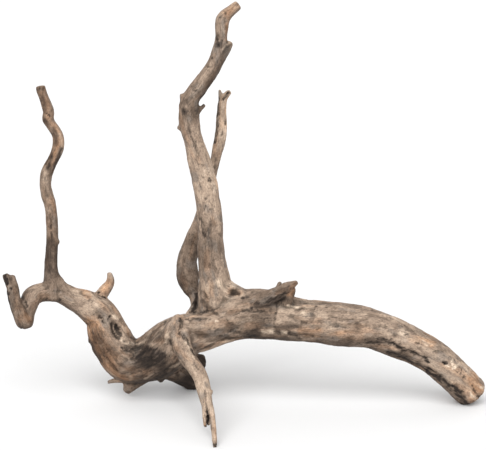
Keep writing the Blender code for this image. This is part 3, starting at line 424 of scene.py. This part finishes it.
# Noise along the grain: the width and length of its cells in millimetres, its seed, its octaves, and for
# patches the values at which they begin and are full.
CRACKED = (20, 60, 41, 1, 0.15, 0.6)
CRACK = (5, 46, 42, 1)
PITTED = (16, 30, 43, 1, 0.0, 0.5)
PIT = (2.4, 4.5, 44, 1, 0.35, 0.6)
FLAKE = (12, 22, 45, 4, 0.06, 0.14)
BARE = (12, 22, 45, 4, 0.06, 0.11)
FINE_GRAIN = (1.7, 20, 46, 1)
COARSE_GRAIN = (3.4, 26, 47, 1)
MOTTLE = (3.6, 6, 61, 3)
STREAK = (1.5, 26, 62, 2)
PATCH = (15, 38, 63, 3)
WANDER = (2.8, 6, 64, 3)
WARM_WOOD = (9, 34, 65, 2, 0.15, 0.6)
COOL_WOOD = (10, 22, 66, 3, 0.2, 0.6)
SPECK = (2.6, 5, 67, 1, 0.5, 0.66)
SPECKLED = (14, 30, 68, 1, -0.2, 0.3)
UNEVEN = (3.2, 7, 69, 2)
BLOTCH = (8, 12, 70, 4)

LUMP_SIZE, LUMP_SEED = 9.0, 48
CRACK_SHARPNESS = 10.0
NOISE_CELLS = 256
NOISE_GAIN = 1.6
SEED_SHIFT = 7.3  # how far apart the fields of two seeds lie
LIMB_SHIFT = 1000.0  # how far apart the grain of two limbs lies
BLEND = 2.0  # how far the grain of one limb runs out over another
CHUNKS = 40  # lots in which the points are measured, to spare memory

# Depths of the fine relief, in millimetres, on a limb of FULL_RELIEF_RADIUS or more.
GRAIN_DEPTH, COARSE_DEPTH = 0.11, 0.16
CRACK_DEPTH, PIT_DEPTH, FLAKE_DEPTH, LUMP_DEPTH = 0.35, 0.4, 0.3, 0.4
FULL_RELIEF_RADIUS, LEAST_RELIEF = 11.0, 0.3

# How much each kind of change tells on the tone.
MOTTLE_TONE, STREAK_TONE, PATCH_TONE, BLOTCH_TONE, FLAKE_TONE = 0.16, 0.06, 0.08, 0.13, 0.13
THICK = (6, 14)  # radius at which a limb begins to be thick, and is
THICK_EVEN = 0.35  # how much less mottled a thick limb is
FLAKED = 0.4  # how much of a thick limb has flaked
TOP, TOP_LIGHT_TONE = (0.1, 0.9), 0.1  # how far up skin faces to be lighter, and by how much: partly sun bleaching, partly painted light from above
# how far down skin faces to be darker, and by how much: painted shade on the undersides, partly damp wood
UNDERSIDE, UNDERSIDE_SHADE_TONE = (0.05, -0.75), 0.24
NORMAL_BLUR = 12
WARM_SHARE = 0.35
DARK_WOOD = (0.08, 0.4)  # tones between which cool patches come in

# Passes of blur that find narrow and wide hollows, and how much each tells on the painted shade in hollows
# and painted light on ridges.
HOLLOW_BLUR, HOLLOW_SHADE_WEIGHT = 6, 1.3
BROAD_BLUR, BROAD_SHADE_WEIGHT = 60, 0.12

# Fine noise in the material: the width and length of its cells in millimetres, and its detail.
FIBRES = (0.7, 12.0, 3.0)
GRIT = (1.2, 2.0, 4.0)
FISSURES = (3.4, 30.0, 2.0)
ROUGHEST, SMOOTHEST = 0.95, 0.72
BUMP_STRENGTH, BUMP_HEIGHT = 0.6, 0.4
SPECULAR = 0.25
MIX_UNDER, MIX_OVER, MIXED = 6, 7, 2  # a mix node's sockets for colour

SENSOR_WIDTH = 36.0
FAR_CLIP = 50.0
FLOOR_REACH = 30.0
FLOOR_GREY, FLOOR_ROUGHNESS = 0.74, 0.9
WORLD_STRENGTH = 0.5

# A sun is (name, place it shines from, width in degrees, strength).
SUNS = [
    ("key", (-0.5, -1.6, 2.0), 55, 3.0),
    ("fill", (1.4, -1.4, 1.2), 70, 0.7),
    ("back", (-0.4, 1.8, 1.6), 80, 0.8),
]


# Shape


def placed(across, up, near):
    """The point, in millimetres, that an eye sees at (across, up) on the elevation, near in front of it."""
    nearer = 1 - near / EYE_DISTANCE
    across = (across - WIDTH / 2) * nearer
    up = (up - HEIGHT / 2) * nearer
    return MIDDLE + Vector(ACROSS * across + UP * up + NEAR * near)


def spaced(stations):
    """Stations as (x, y, z, radius), joined by a smooth curve and read off every RING_STEP."""
    knots = [
        np.array([*placed(across, up, near), radius * (1 - near / EYE_DISTANCE)])
        for across, up, near, radius in stations
    ]
    knots = [2 * knots[0] - knots[1], *knots, 2 * knots[-1] - knots[-2]]
    path = []
    for before, start, end, after in zip(knots, knots[1:], knots[2:], knots[3:]):
        steps = max(2, round(np.linalg.norm(end[:3] - start[:3]) / RING_STEP))
        square = 2 * before - 5 * start + 4 * end - after
        cube = 3 * start - 3 * end + after - before
        for t in np.arange(steps) / steps:
            path.append(0.5 * (2 * start + (end - before) * t + square * t**2 + cube * t**3))
    path.append(knots[-2])
    return path


def domed(path, end_dome, start_dome):
    """The path with a dome at each end that narrows to almost nothing."""
    ends = []
    for first, second, dome in ((path[0], path[1], start_dome), (path[-1], path[-2], end_dome)):
        out = first[:3] - second[:3]
        out /= np.linalg.norm(out)
        rings = []
        for share in np.arange(1, DOME_RINGS + 1) / DOME_RINGS:
            narrow = max((1 - share**BLUNT) ** (1 / BLUNT), THINNEST)
            rings.append(np.array([*(first[:3] + out * share * dome * first[3]), first[3] * narrow]))
        ends.append(rings)
    return ends[0][::-1] + path + ends[1]


def round_limb(radius, turn, run, width, length, seed):
    """Noise that repeats round the limb, with cells of this width and length."""
    reach = radius / width
    return noise.noise(Vector((math.cos(turn) * reach, math.sin(turn) * reach + seed, run / length + seed)))


def girth(radius, turn, run, seed):
    """How far the skin lies from a limb's axis, at an angle round it and a length along it."""
    turn += SPIRAL * run
    most = MOST_RELIEF * radius
    lobe = round_limb(radius, turn, run, LOBE_WIDTH, LOBE_RUN, seed)
    ridge = round_limb(radius, turn, run, RIDGE_WIDTH, RIDGE_RUN, seed + RIDGE_SEED)
    valley = abs(round_limb(radius, turn, run, CREASE_WIDTH, CREASE_RUN, seed + CREASE_SEED))
    crease = max(0, 1 - CREASE_SHARPNESS * valley)
    raised = min(LOBE_DEPTH, most * MOST_LOBE) * lobe + min(RIDGE_DEPTH, most) * ridge
    return radius + raised - min(CREASE_DEPTH, most) * crease


# A ring has its limb's number, its middle, the way the limb runs there, two ways across it, its radius, and
# how far along the limb it lies.
Ring = namedtuple("Ring", "limb point along side other radius run")


def rings_of(limb, index):
    """The rings of a limb, from its start to its end."""
    path = domed(spaced(limb.stations), limb.end, limb.start)
    points = [Vector(station[:3]) for station in path]
    ahead = [*points[1:], points[-1]]
    behind = [points[0], *points[:-1]]
    along = [(after - before).normalized() for after, before in zip(ahead, behind)]
    side = along[0].orthogonal().normalized()
    run = 0.0
    rings = []
    for point, before, way, station in zip(points, behind, along, path):
        side = (side - way * side.dot(way)).normalized()
        run += (point - before).length
        rings.append(Ring(index, point, way, side, way.cross(side), station[3], run))
    return rings


def add_limb(mesh, rings):
    """Lofts a limb's rings into the mesh as one closed tube."""
    loops = []
    for ring in rings:
        loop = []
        for corner in range(RING_SIDES):
            turn = math.tau * corner / RING_SIDES
            reach = girth(ring.radius, turn, ring.run, ring.limb * LIMB_SEED)
            place = ring.point + (ring.side * math.cos(turn) + ring.other * math.sin(turn)) * reach
            loop.append(mesh.verts.new(place * MM))
        loops.append(loop)
    for loop, following in zip(loops, loops[1:]):
        for corner in range(RING_SIDES):
            after = (corner + 1) % RING_SIDES
            mesh.faces.new((loop[corner], loop[after], following[after], following[corner]))
    mesh.faces.new(loops[0][::-1])
    mesh.faces.new(loops[-1])


def add_object(name, data):
    thing = bpy.data.objects.new(name, data)
    bpy.context.scene.collection.objects.link(thing)
    return thing


def grown_mesh(limbs):
    """One fine skin round all the limbs, softened where they meet."""
    mesh = bmesh.new()
    for rings in limbs:
        add_limb(mesh, rings)
    bmesh.ops.recalc_face_normals(mesh, faces=mesh.faces)
    tubes = bpy.data.meshes.new("tubes")
    mesh.to_mesh(tubes)
    mesh.free()
    grown = add_object("tubes", tubes)
    remesh = grown.modifiers.new("fuse", "REMESH")
    remesh.mode = "VOXEL"
    remesh.voxel_size = VOXEL * MM
    smooth = grown.modifiers.new("soften", "SMOOTH")
    smooth.factor = SMOOTH_SHARE
    smooth.iterations = SMOOTH_PASSES
    skin = bpy.data.meshes.new_from_object(grown.evaluated_get(bpy.context.evaluated_depsgraph_get()))
    bpy.data.objects.remove(grown)
    bpy.data.meshes.remove(tubes)
    return skin


def read_points(mesh):
    """The mesh's points in millimetres and its normals."""
    points = np.empty(len(mesh.vertices) * 3)
    normals = np.empty_like(points)
    mesh.vertices.foreach_get("co", points)
    mesh.vertex_normals.foreach_get("vector", normals)
    return points.reshape(-1, 3) / MM, normals.reshape(-1, 3)


def write_points(mesh, points):
    mesh.vertices.foreach_set("co", (points * MM).ravel())
    mesh.update()


def away_from(points, across, up, near):
    """How far each point is from a place given by the elevation."""
    return np.linalg.norm(points - np.array(placed(across, up, near)), axis=1)


def dented(points, normals):
    """The points with every dent pressed into the skin that faces the eye."""
    facing = np.clip(normals @ NEAR * DENT_FACING, 0, 1)
    for across, up, near, half_width, half_length, depth, lean in DENTS:
        offset = points - np.array(placed(across, up, near))
        cosine, sine = math.cos(math.radians(lean)), math.sin(math.radians(lean))
        reach = (
            (offset @ (ACROSS * cosine + UP * sine) / half_width) ** 2
            + (offset @ (UP * cosine - ACROSS * sine) / half_length) ** 2
            + (offset @ NEAR / (2 * half_width)) ** 2
        )
        points = points - np.outer(np.clip(1 - reach, 0, 1) ** DENT_FADE * facing * depth, NEAR)
    return points


# Grain


def step(low, high, values):
    """Rises smoothly from 0 at low to 1 at high."""
    share = np.clip((values - low) / (high - low), 0, 1)
    return share * share * (3 - 2 * share)


def lattice_noise(points, seed):
    """Gradient noise at each point, from about -1 to 1, in cells of size 1."""
    chance = np.random.default_rng(seed)
    order = chance.permutation(NOISE_CELLS)
    slopes = chance.normal(size=(NOISE_CELLS, 3))
    slopes /= np.linalg.norm(slopes, axis=1)[:, None]
    cell = np.floor(points).astype(int)
    part = points - cell
    fade = part**3 * (part * (part * 6 - 15) + 10)
    total = np.zeros(len(points))
    for corner in itertools.product((0, 1), repeat=3):
        x, y, z = (cell + corner).T % NOISE_CELLS
        pick = order[(order[(order[x] + y) % NOISE_CELLS] + z) % NOISE_CELLS]
        weight = np.prod(np.where(corner, fade, 1 - fade), axis=1)
        total += weight * np.einsum("ij,ij->i", slopes[pick], part - corner)
    return total * NOISE_GAIN


class Grain:
    """Where each point lies on the two limbs nearest to it: round the limb, and along it."""

    def __init__(self, limbs, points):
        self.points = points
        self.rings = Ring(*map(np.array, zip(*itertools.chain(*limbs))))
        self.nearest = np.empty((len(points), len(limbs)), dtype=int)
        gap = np.empty((len(points), len(limbs)))
        first = np.cumsum([0] + [len(limb) for limb in limbs[:-1]])
        for some in np.array_split(np.arange(len(points)), CHUNKS):
            away = np.linalg.norm(points[some, None] - self.rings.point[None], axis=2) - self.rings.radius
            for k, (start, limb) in enumerate(zip(first, limbs)):
                best = start + away[:, start : start + len(limb)].argmin(axis=1)
                self.nearest[some, k] = best
                gap[some, k] = away[np.arange(len(some)), best]
        closest = np.argsort(gap, axis=1)[:, :2]
        near_gap, far_gap = np.take_along_axis(gap, closest, axis=1).T
        share = np.exp(-(far_gap - near_gap) / BLEND)
        self.share = np.stack([1 / (1 + share), share / (1 + share)], axis=1)
        self.coordinates = [self.on_limb(limb) for limb in closest.T]
        self.thickness = self.rings.radius[self.nearest[np.arange(len(points)), closest[:, 0]]]
        self.wander = self.noise(*WANDER)
        self.uneven = self.noise(*UNEVEN)

    def on_limb(self, limb):
        """The grain's x, y and z of each point, on the limb given for it."""
        nearest = self.nearest[np.arange(len(self.points)), limb]
        ring = Ring(*(column[nearest] for column in self.rings))
        offset = self.points - ring.point
        ways = (ring.along, ring.side, ring.other)
        along, side, other = (np.einsum("ij,ij->i", offset, way) for way in ways)
        run = ring.run + along
        turn = np.arctan2(other, side) + SPIRAL * run
        return np.cos(turn) * ring.radius, np.sin(turn) * ring.radius, run + limb * LIMB_SHIFT

    def noise(self, width, length, seed, octaves):
        """Noise at each point, from about -1 to 1."""
        total = np.zeros(len(self.points))
        for octave in range(octaves):
            fine = 2**octave
            for share, (x, y, z) in zip(self.share.T, self.coordinates):
                places = np.stack([x / width, y / width, z / length], axis=1) * fine + seed * SEED_SHIFT
                total += share * lattice_noise(places, seed + octave) / fine
        return total / np.sqrt((self.share**2).sum(axis=1))

    def patches(self, width, length, seed, octaves, begins, full):
        """From 0 outside the noise's patches to 1 inside them."""
        return step(begins, full, self.noise(width, length, seed, octaves))


def knotted(points, ring, ring_radius, heart, heart_radius):
    """Each knot's ring and heart at each point, of these heights and these shares of its radius."""
    for across, up, near, radius in KNOTS:
        away = away_from(points, across, up, near) / radius
        on_ring = np.exp(-(((away - ring_radius) / KNOT_RING_WIDTH) ** 2))
        yield ring * on_ring + heart * np.exp(-((away / heart_radius) ** 2))


def fine_relief(grain, points):
    """How far the weather has raised the skin, in millimetres, along its normals."""
    crack = np.clip(1 - CRACK_SHARPNESS * np.abs(grain.noise(*CRACK)), 0, 1) * grain.patches(*CRACKED)
    relief = (
        GRAIN_DEPTH * grain.noise(*FINE_GRAIN)
        + COARSE_DEPTH * grain.noise(*COARSE_GRAIN)
        + LUMP_DEPTH * lattice_noise(points / LUMP_SIZE, LUMP_SEED)
        + FLAKE_DEPTH * grain.patches(*FLAKE)
        - CRACK_DEPTH * crack
        - PIT_DEPTH * grain.patches(*PIT) * grain.patches(*PITTED)
    )
    relief *= np.clip(grain.thickness / FULL_RELIEF_RADIUS, LEAST_RELIEF, 1)
    return relief + sum(knotted(points, ring=0.45, ring_radius=1, heart=-0.9, heart_radius=0.55))


# Marks


def on_elevation(points):
    """Where the eye sees each point on the elevation, across and up, and how near it is."""
    offset = points - np.array(MIDDLE)
    near = offset @ NEAR
    nearer = 1 - near / EYE_DISTANCE
    return offset @ ACROSS / nearer + WIDTH / 2, offset @ UP / nearer + HEIGHT / 2, near


def off_line(across, up, line):
    """How far each place on the elevation is from a line of points."""
    least = np.full(len(across), np.inf)
    for (x0, y0), (x1, y1) in zip(line, line[1:]):
        length = math.hypot(x1 - x0, y1 - y0)
        share = np.clip(((across - x0) * (x1 - x0) + (up - y0) * (y1 - y0)) / length**2, 0, 1)
        least = np.minimum(least, np.hypot(across - x0 - share * (x1 - x0), up - y0 - share * (y1 - y0)))
    return least


def marked(marks, points, normals, grain):
    """The strength of the strongest mark at each point, with ragged edges, and how deep it is sunk there."""
    across, up, near = on_elevation(points)
    facing = np.clip(normals @ NEAR * MARK_FACING, 0, 1)
    even = np.clip(MARK_STRENGTH - MARK_UNEVENNESS * grain.uneven, *STRENGTHS)
    strength, depth = np.zeros((2, len(points)))
    for mark_near, width, most, line in marks:
        away = off_line(across, up, line) / width
        away += grain.wander * np.clip(EDGE_WANDER / width, *WANDER_SHARES)
        shown = most * step(1, MARK_CORE, away) * facing * step(*MARK_REACH, np.abs(near - mark_near)) * even
        strength = np.maximum(strength, shown)
        if width < STAIN_WIDTH:
            depth = np.maximum(depth, min(MARK_DEPTH * width, MOST_MARK_DEPTH) * shown)
    return strength, depth


def grow_skin():
    """The driftwood's skin with its relief, and its grain."""
    limbs = [rings_of(limb, index) for index, limb in enumerate(LIMBS.values())]
    mesh = grown_mesh(limbs)
    write_points(mesh, dented(*read_points(mesh)))
    points, normals = read_points(mesh)
    grain = Grain(limbs, points)
    points += normals * fine_relief(grain, points)[:, None]
    points -= normals * marked(DARK_STAINS_AND_SHADE, points, normals, grain)[1][:, None]
    low, high = np.array(cad_box) / MM
    write_points(mesh, np.clip(points, low, high))
    return mesh, grain


# Masks


def blurred(mesh, values, passes):
    """Vectors at the mesh's points, each averaged with its neighbours' this many times."""
    edges = np.empty(len(mesh.edges) * 2, dtype=int)
    mesh.edges.foreach_get("vertices", edges)
    ends = np.concatenate([edges[::2], edges[1::2]])
    others = np.concatenate([edges[1::2], edges[::2]])
    count = np.bincount(ends, minlength=len(values))
    for _ in range(passes):
        columns = [np.bincount(ends, column[others], len(count)) / count for column in values.T]
        values = 0.5 * values + 0.5 * np.stack(columns, axis=1)
    return values


def weathered_and_shaded(points):
    """How bleached the wood is at each point, from the listed places, with painted shade where they are
    darkest.
    """
    total = np.full(len(points), PLAIN_TONE * PLAIN_WEIGHT)
    weight = np.full(len(points), PLAIN_WEIGHT)
    for across, up, near, tone in WEATHER_AND_SHADE:
        away = away_from(points, across, up, near)
        told = np.exp(-((away / WEATHER_AND_SHADE_REACH) ** 2))
        total += tone * told
        weight += told
    return total / weight


def toned(grain, points, broad_normals):
    """How pale the wood is at each point, from 0 to 1, with painted shade on undersides and in the darkest
    listed places, and partly painted light on tops.
    """
    thick = step(*THICK, grain.thickness)
    upward = broad_normals[:, 2] / np.linalg.norm(broad_normals, axis=1)
    tone = (
        weathered_and_shaded(points)
        + MOTTLE_TONE * (1 - THICK_EVEN * thick) * grain.noise(*MOTTLE)
        + STREAK_TONE * grain.noise(*STREAK)
        + PATCH_TONE * grain.noise(*PATCH)
        + BLOTCH_TONE * grain.noise(*BLOTCH)
        + FLAKE_TONE * thick * (grain.patches(*BARE) - FLAKED)
        # lighter on top, partly bleaching and partly painted light; darker underneath, painted shade and
        # partly damp wood
        + TOP_LIGHT_TONE * step(*TOP, upward)
        - UNDERSIDE_SHADE_TONE * step(*UNDERSIDE, upward)
    )
    return np.clip(tone, 0, 1)


def specked(grain, points):
    """How dark the specks and the knots are at each point, from 0 to 1."""
    speck = grain.patches(*SPECK) * grain.patches(*SPECKLED)
    for knot in knotted(points, ring=0.9, ring_radius=0.8, heart=0.35, heart_radius=0.6):
        speck = np.maximum(speck, np.clip(knot, 0, 1))
    return speck


def painted_hollow_shade_mask(mesh, points, normals):
    """From 0 on a sharp ridge, through 0.5 on flat skin, to 1 in a deep hollow: the mask for painted shade in
    hollows and painted light on ridges.
    """
    painted_hollow_shade = 0.5
    for passes, weight in ((HOLLOW_BLUR, HOLLOW_SHADE_WEIGHT), (BROAD_BLUR, BROAD_SHADE_WEIGHT)):
        painted_hollow_shade = painted_hollow_shade + weight * np.einsum("ij,ij->i", blurred(mesh, points, passes) - points, normals)
    return np.clip(painted_hollow_shade, 0, 1)


def add_masks(mesh, grain):
    """Gives the mesh the masks and the grain coordinates that its material reads."""
    points, normals = read_points(mesh)
    masks = {name: marked(marks, points, normals, grain)[0] for name, marks in MARKS.items()}
    masks["warm"] = np.clip(masks["warm"] + WARM_SHARE * grain.patches(*WARM_WOOD), 0, 1)
    masks["tone"] = toned(grain, points, blurred(mesh, normals, NORMAL_BLUR))
    masks["cool"] = grain.patches(*COOL_WOOD) * step(*DARK_WOOD, masks["tone"])
    masks["speck"] = specked(grain, points)
    # painted shade in hollows and painted light on sharp ridges
    masks["painted_hollow_shade"] = painted_hollow_shade_mask(mesh, points, normals)
    for name, values in masks.items():
        mesh.attributes.new(name, "FLOAT", "POINT").data.foreach_set("value", values.astype(np.float32))
    coordinates = np.stack(grain.coordinates[0], axis=1) * MM
    along = mesh.attributes.new("grain", "FLOAT_VECTOR", "POINT")
    along.data.foreach_set("vector", coordinates.astype(np.float32).ravel())


# Material


def srgb(red, green, blue):
    """A colour named as it looks on a screen, 0 to 255, as a shader takes it."""
    shares = (red / 255, green / 255, blue / 255)
    return (*(c / 12.92 if c <= 0.04045 else ((c + 0.055) / 1.055) ** 2.4 for c in shares), 1.0)


def grey(value):
    return (value, value, value, 1.0)


class Nodes:
    """A new material, and short calls for building its nodes."""

    def __init__(self, name):
        self.material = bpy.data.materials.new(name)
        self.material.use_nodes = True
        self.tree = self.material.node_tree
        self.shader = self.tree.nodes["Principled BSDF"]

    def feed(self, node, inputs):
        """Sets each input of the node to a value, or links it to another node's output."""
        for name, value in inputs.items():
            if isinstance(value, bpy.types.NodeSocket):
                self.tree.links.new(value, node.inputs[name])
            else:
                node.inputs[name].default_value = value

    def add(self, kind, inputs, **settings):
        node = self.tree.nodes.new("ShaderNode" + kind)
        for name, value in settings.items():
            setattr(node, name, value)
        self.feed(node, inputs)
        return node

    def mask(self, name, share=1.0):
        """A mask of the mesh, times share."""
        mask = self.add("Attribute", {}, attribute_name=name).outputs["Fac"]
        return self.add("Math", {0: mask, 1: share}, operation="MULTIPLY").outputs[0]

    def ramp(self, value, stops):
        """The value read through a ramp of (position, colour)."""
        node = self.add("ValToRGB", {"Fac": value})
        while len(node.color_ramp.elements) < len(stops):
            node.color_ramp.elements.new(0.5)
        for element, (position, colour) in zip(node.color_ramp.elements, stops):
            element.position = position
            element.color = colour
        return node.outputs["Color"]

    def mix(self, share, under, over, blend):
        inputs = {"Factor": share, MIX_UNDER: under, MIX_OVER: over}
        return self.add("Mix", inputs, data_type="RGBA", blend_type=blend).outputs[MIXED]

    def grain_noise(self, width, length, detail):
        """Noise drawn out along the grain, with cells of this width and length in millimetres."""
        grain = self.add("Attribute", {}, attribute_name="grain").outputs["Vector"]
        scale = (1 / (width * MM), 1 / (width * MM), 1 / (length * MM))
        cells = self.add("Mapping", {"Vector": grain, "Scale": scale}).outputs["Vector"]
        inputs = {"Vector": cells, "Scale": 1.0, "Detail": detail}
        return self.add("TexNoise", inputs).outputs["Fac"]


def weathered_wood():
    """Wood coloured by its tone, tinted by each mask in turn, then darkened by fine noise, with painted shade
    in hollows and painted light on ridges.
    """
    nodes = Nodes("weathered_wood")
    tones = [
        (0.02, srgb(56, 46, 39)), (0.26, srgb(96, 81, 69)), (0.5, srgb(132, 114, 99)),
        (0.72, srgb(160, 140, 122)), (0.97, srgb(190, 170, 151)),
    ]
    colour = nodes.ramp(nodes.mask("tone"), tones)
    for name, share, over, blend in (
        ("cool", 0.55, srgb(112, 104, 97), "MIX"),
        ("warm", 0.9, (1.22, 0.93, 0.7, 1.0), "MULTIPLY"),
        ("pale", 0.7, srgb(186, 165, 145), "MIX"),
        ("chip", 0.85, srgb(214, 194, 172), "MIX"),
        # dark stains, rot and cracks, with painted shade and shadow under the snag and ridge, in the slot and
        # crease, in the belly's hollow and on the root behind
        ("dark_stain_and_shade", 0.88, srgb(42, 34, 29), "MIX"),
        ("speck", 0.8, srgb(46, 38, 33), "MIX"),
    ):
        colour = nodes.mix(nodes.mask(name, share), colour, over, blend)
    fibre = nodes.grain_noise(*FIBRES)
    fissure = nodes.grain_noise(*FISSURES)
    for value, shades in (
        (fibre, [(0.3, 0.8), (0.7, 1.15)]),
        (nodes.grain_noise(*GRIT), [(0.32, 0.64), (0.5, 1.02), (0.7, 1.22)]),
        (fissure, [(0.44, 1), (0.455, 0.62), (0.47, 1), (0.56, 1), (0.57, 0.7), (0.58, 1)]),
        # painted shade: darker in hollows; painted light: lighter on sharp ridges
        (nodes.mask("painted_hollow_shade"), [(0.25, 1.12), (0.5, 1), (0.8, 0.55)]),
    ):
        shade = nodes.ramp(value, [(position, grey(shade)) for position, shade in shades])
        colour = nodes.mix(1.0, colour, shade, "MULTIPLY")
    roughness = nodes.add("MapRange", {"Value": fibre, "To Min": ROUGHEST, "To Max": SMOOTHEST})
    bump = {"Strength": BUMP_STRENGTH, "Distance": BUMP_HEIGHT * MM, "Height": fibre}
    skin = {
        "Base Color": colour,
        "Roughness": roughness.outputs["Result"],
        "Specular IOR Level": SPECULAR,
        "Normal": nodes.add("Bump", bump).outputs["Normal"],
    }
    nodes.feed(nodes.shader, skin)
    return nodes.material


def pale_floor():
    nodes = Nodes("pale_floor")
    nodes.feed(nodes.shader, {"Base Color": grey(FLOOR_GREY), "Roughness": FLOOR_ROUGHNESS})
    return nodes.material


# Scene


def add_driftwood():
    mesh, grain = grow_skin()
    add_masks(mesh, grain)
    mesh.materials.clear()
    mesh.materials.append(weathered_wood())
    mesh.shade_smooth()
    driftwood = add_object("driftwood_skin", mesh)
    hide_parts("driftwood")
    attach(driftwood, "root")


def add_floor():
    mesh = bmesh.new()
    bmesh.ops.create_grid(mesh, x_segments=1, y_segments=1, size=FLOOR_REACH)
    plane = bpy.data.meshes.new("floor")
    mesh.to_mesh(plane)
    mesh.free()
    plane.materials.append(pale_floor())
    floor = add_object("floor", plane)


def aim(thing, place, target):
    thing.location = place
    thing.rotation_euler = (target - place).to_track_quat("-Z", "Y").to_euler()


def add_camera():
    lens = bpy.data.cameras.new("camera")
    lens.sensor_width = SENSOR_WIDTH
    lens.lens = SENSOR_WIDTH * EYE_DISTANCE / WIDTH
    lens.clip_end = FAR_CLIP
    camera = add_object("camera", lens)
    target = MIDDLE * MM
    aim(camera, target + Vector(NEAR) * EYE_DISTANCE * MM, target)
    bpy.context.scene.camera = camera


def add_light():
    world = bpy.data.worlds.new("studio")
    world.use_nodes = True
    background = world.node_tree.nodes["Background"]
    background.inputs["Color"].default_value = grey(1.0)
    background.inputs["Strength"].default_value = WORLD_STRENGTH
    bpy.context.scene.world = world
    for name, place, width, strength in SUNS:
        light = bpy.data.lights.new(name, "SUN")
        light.angle = math.radians(width)
        light.energy = strength
        aim(add_object(name, light), Vector(place), MIDDLE * MM)


add_driftwood()
add_floor()
add_camera()
add_light()
bpy.context.scene.view_settings.view_transform = "Standard"
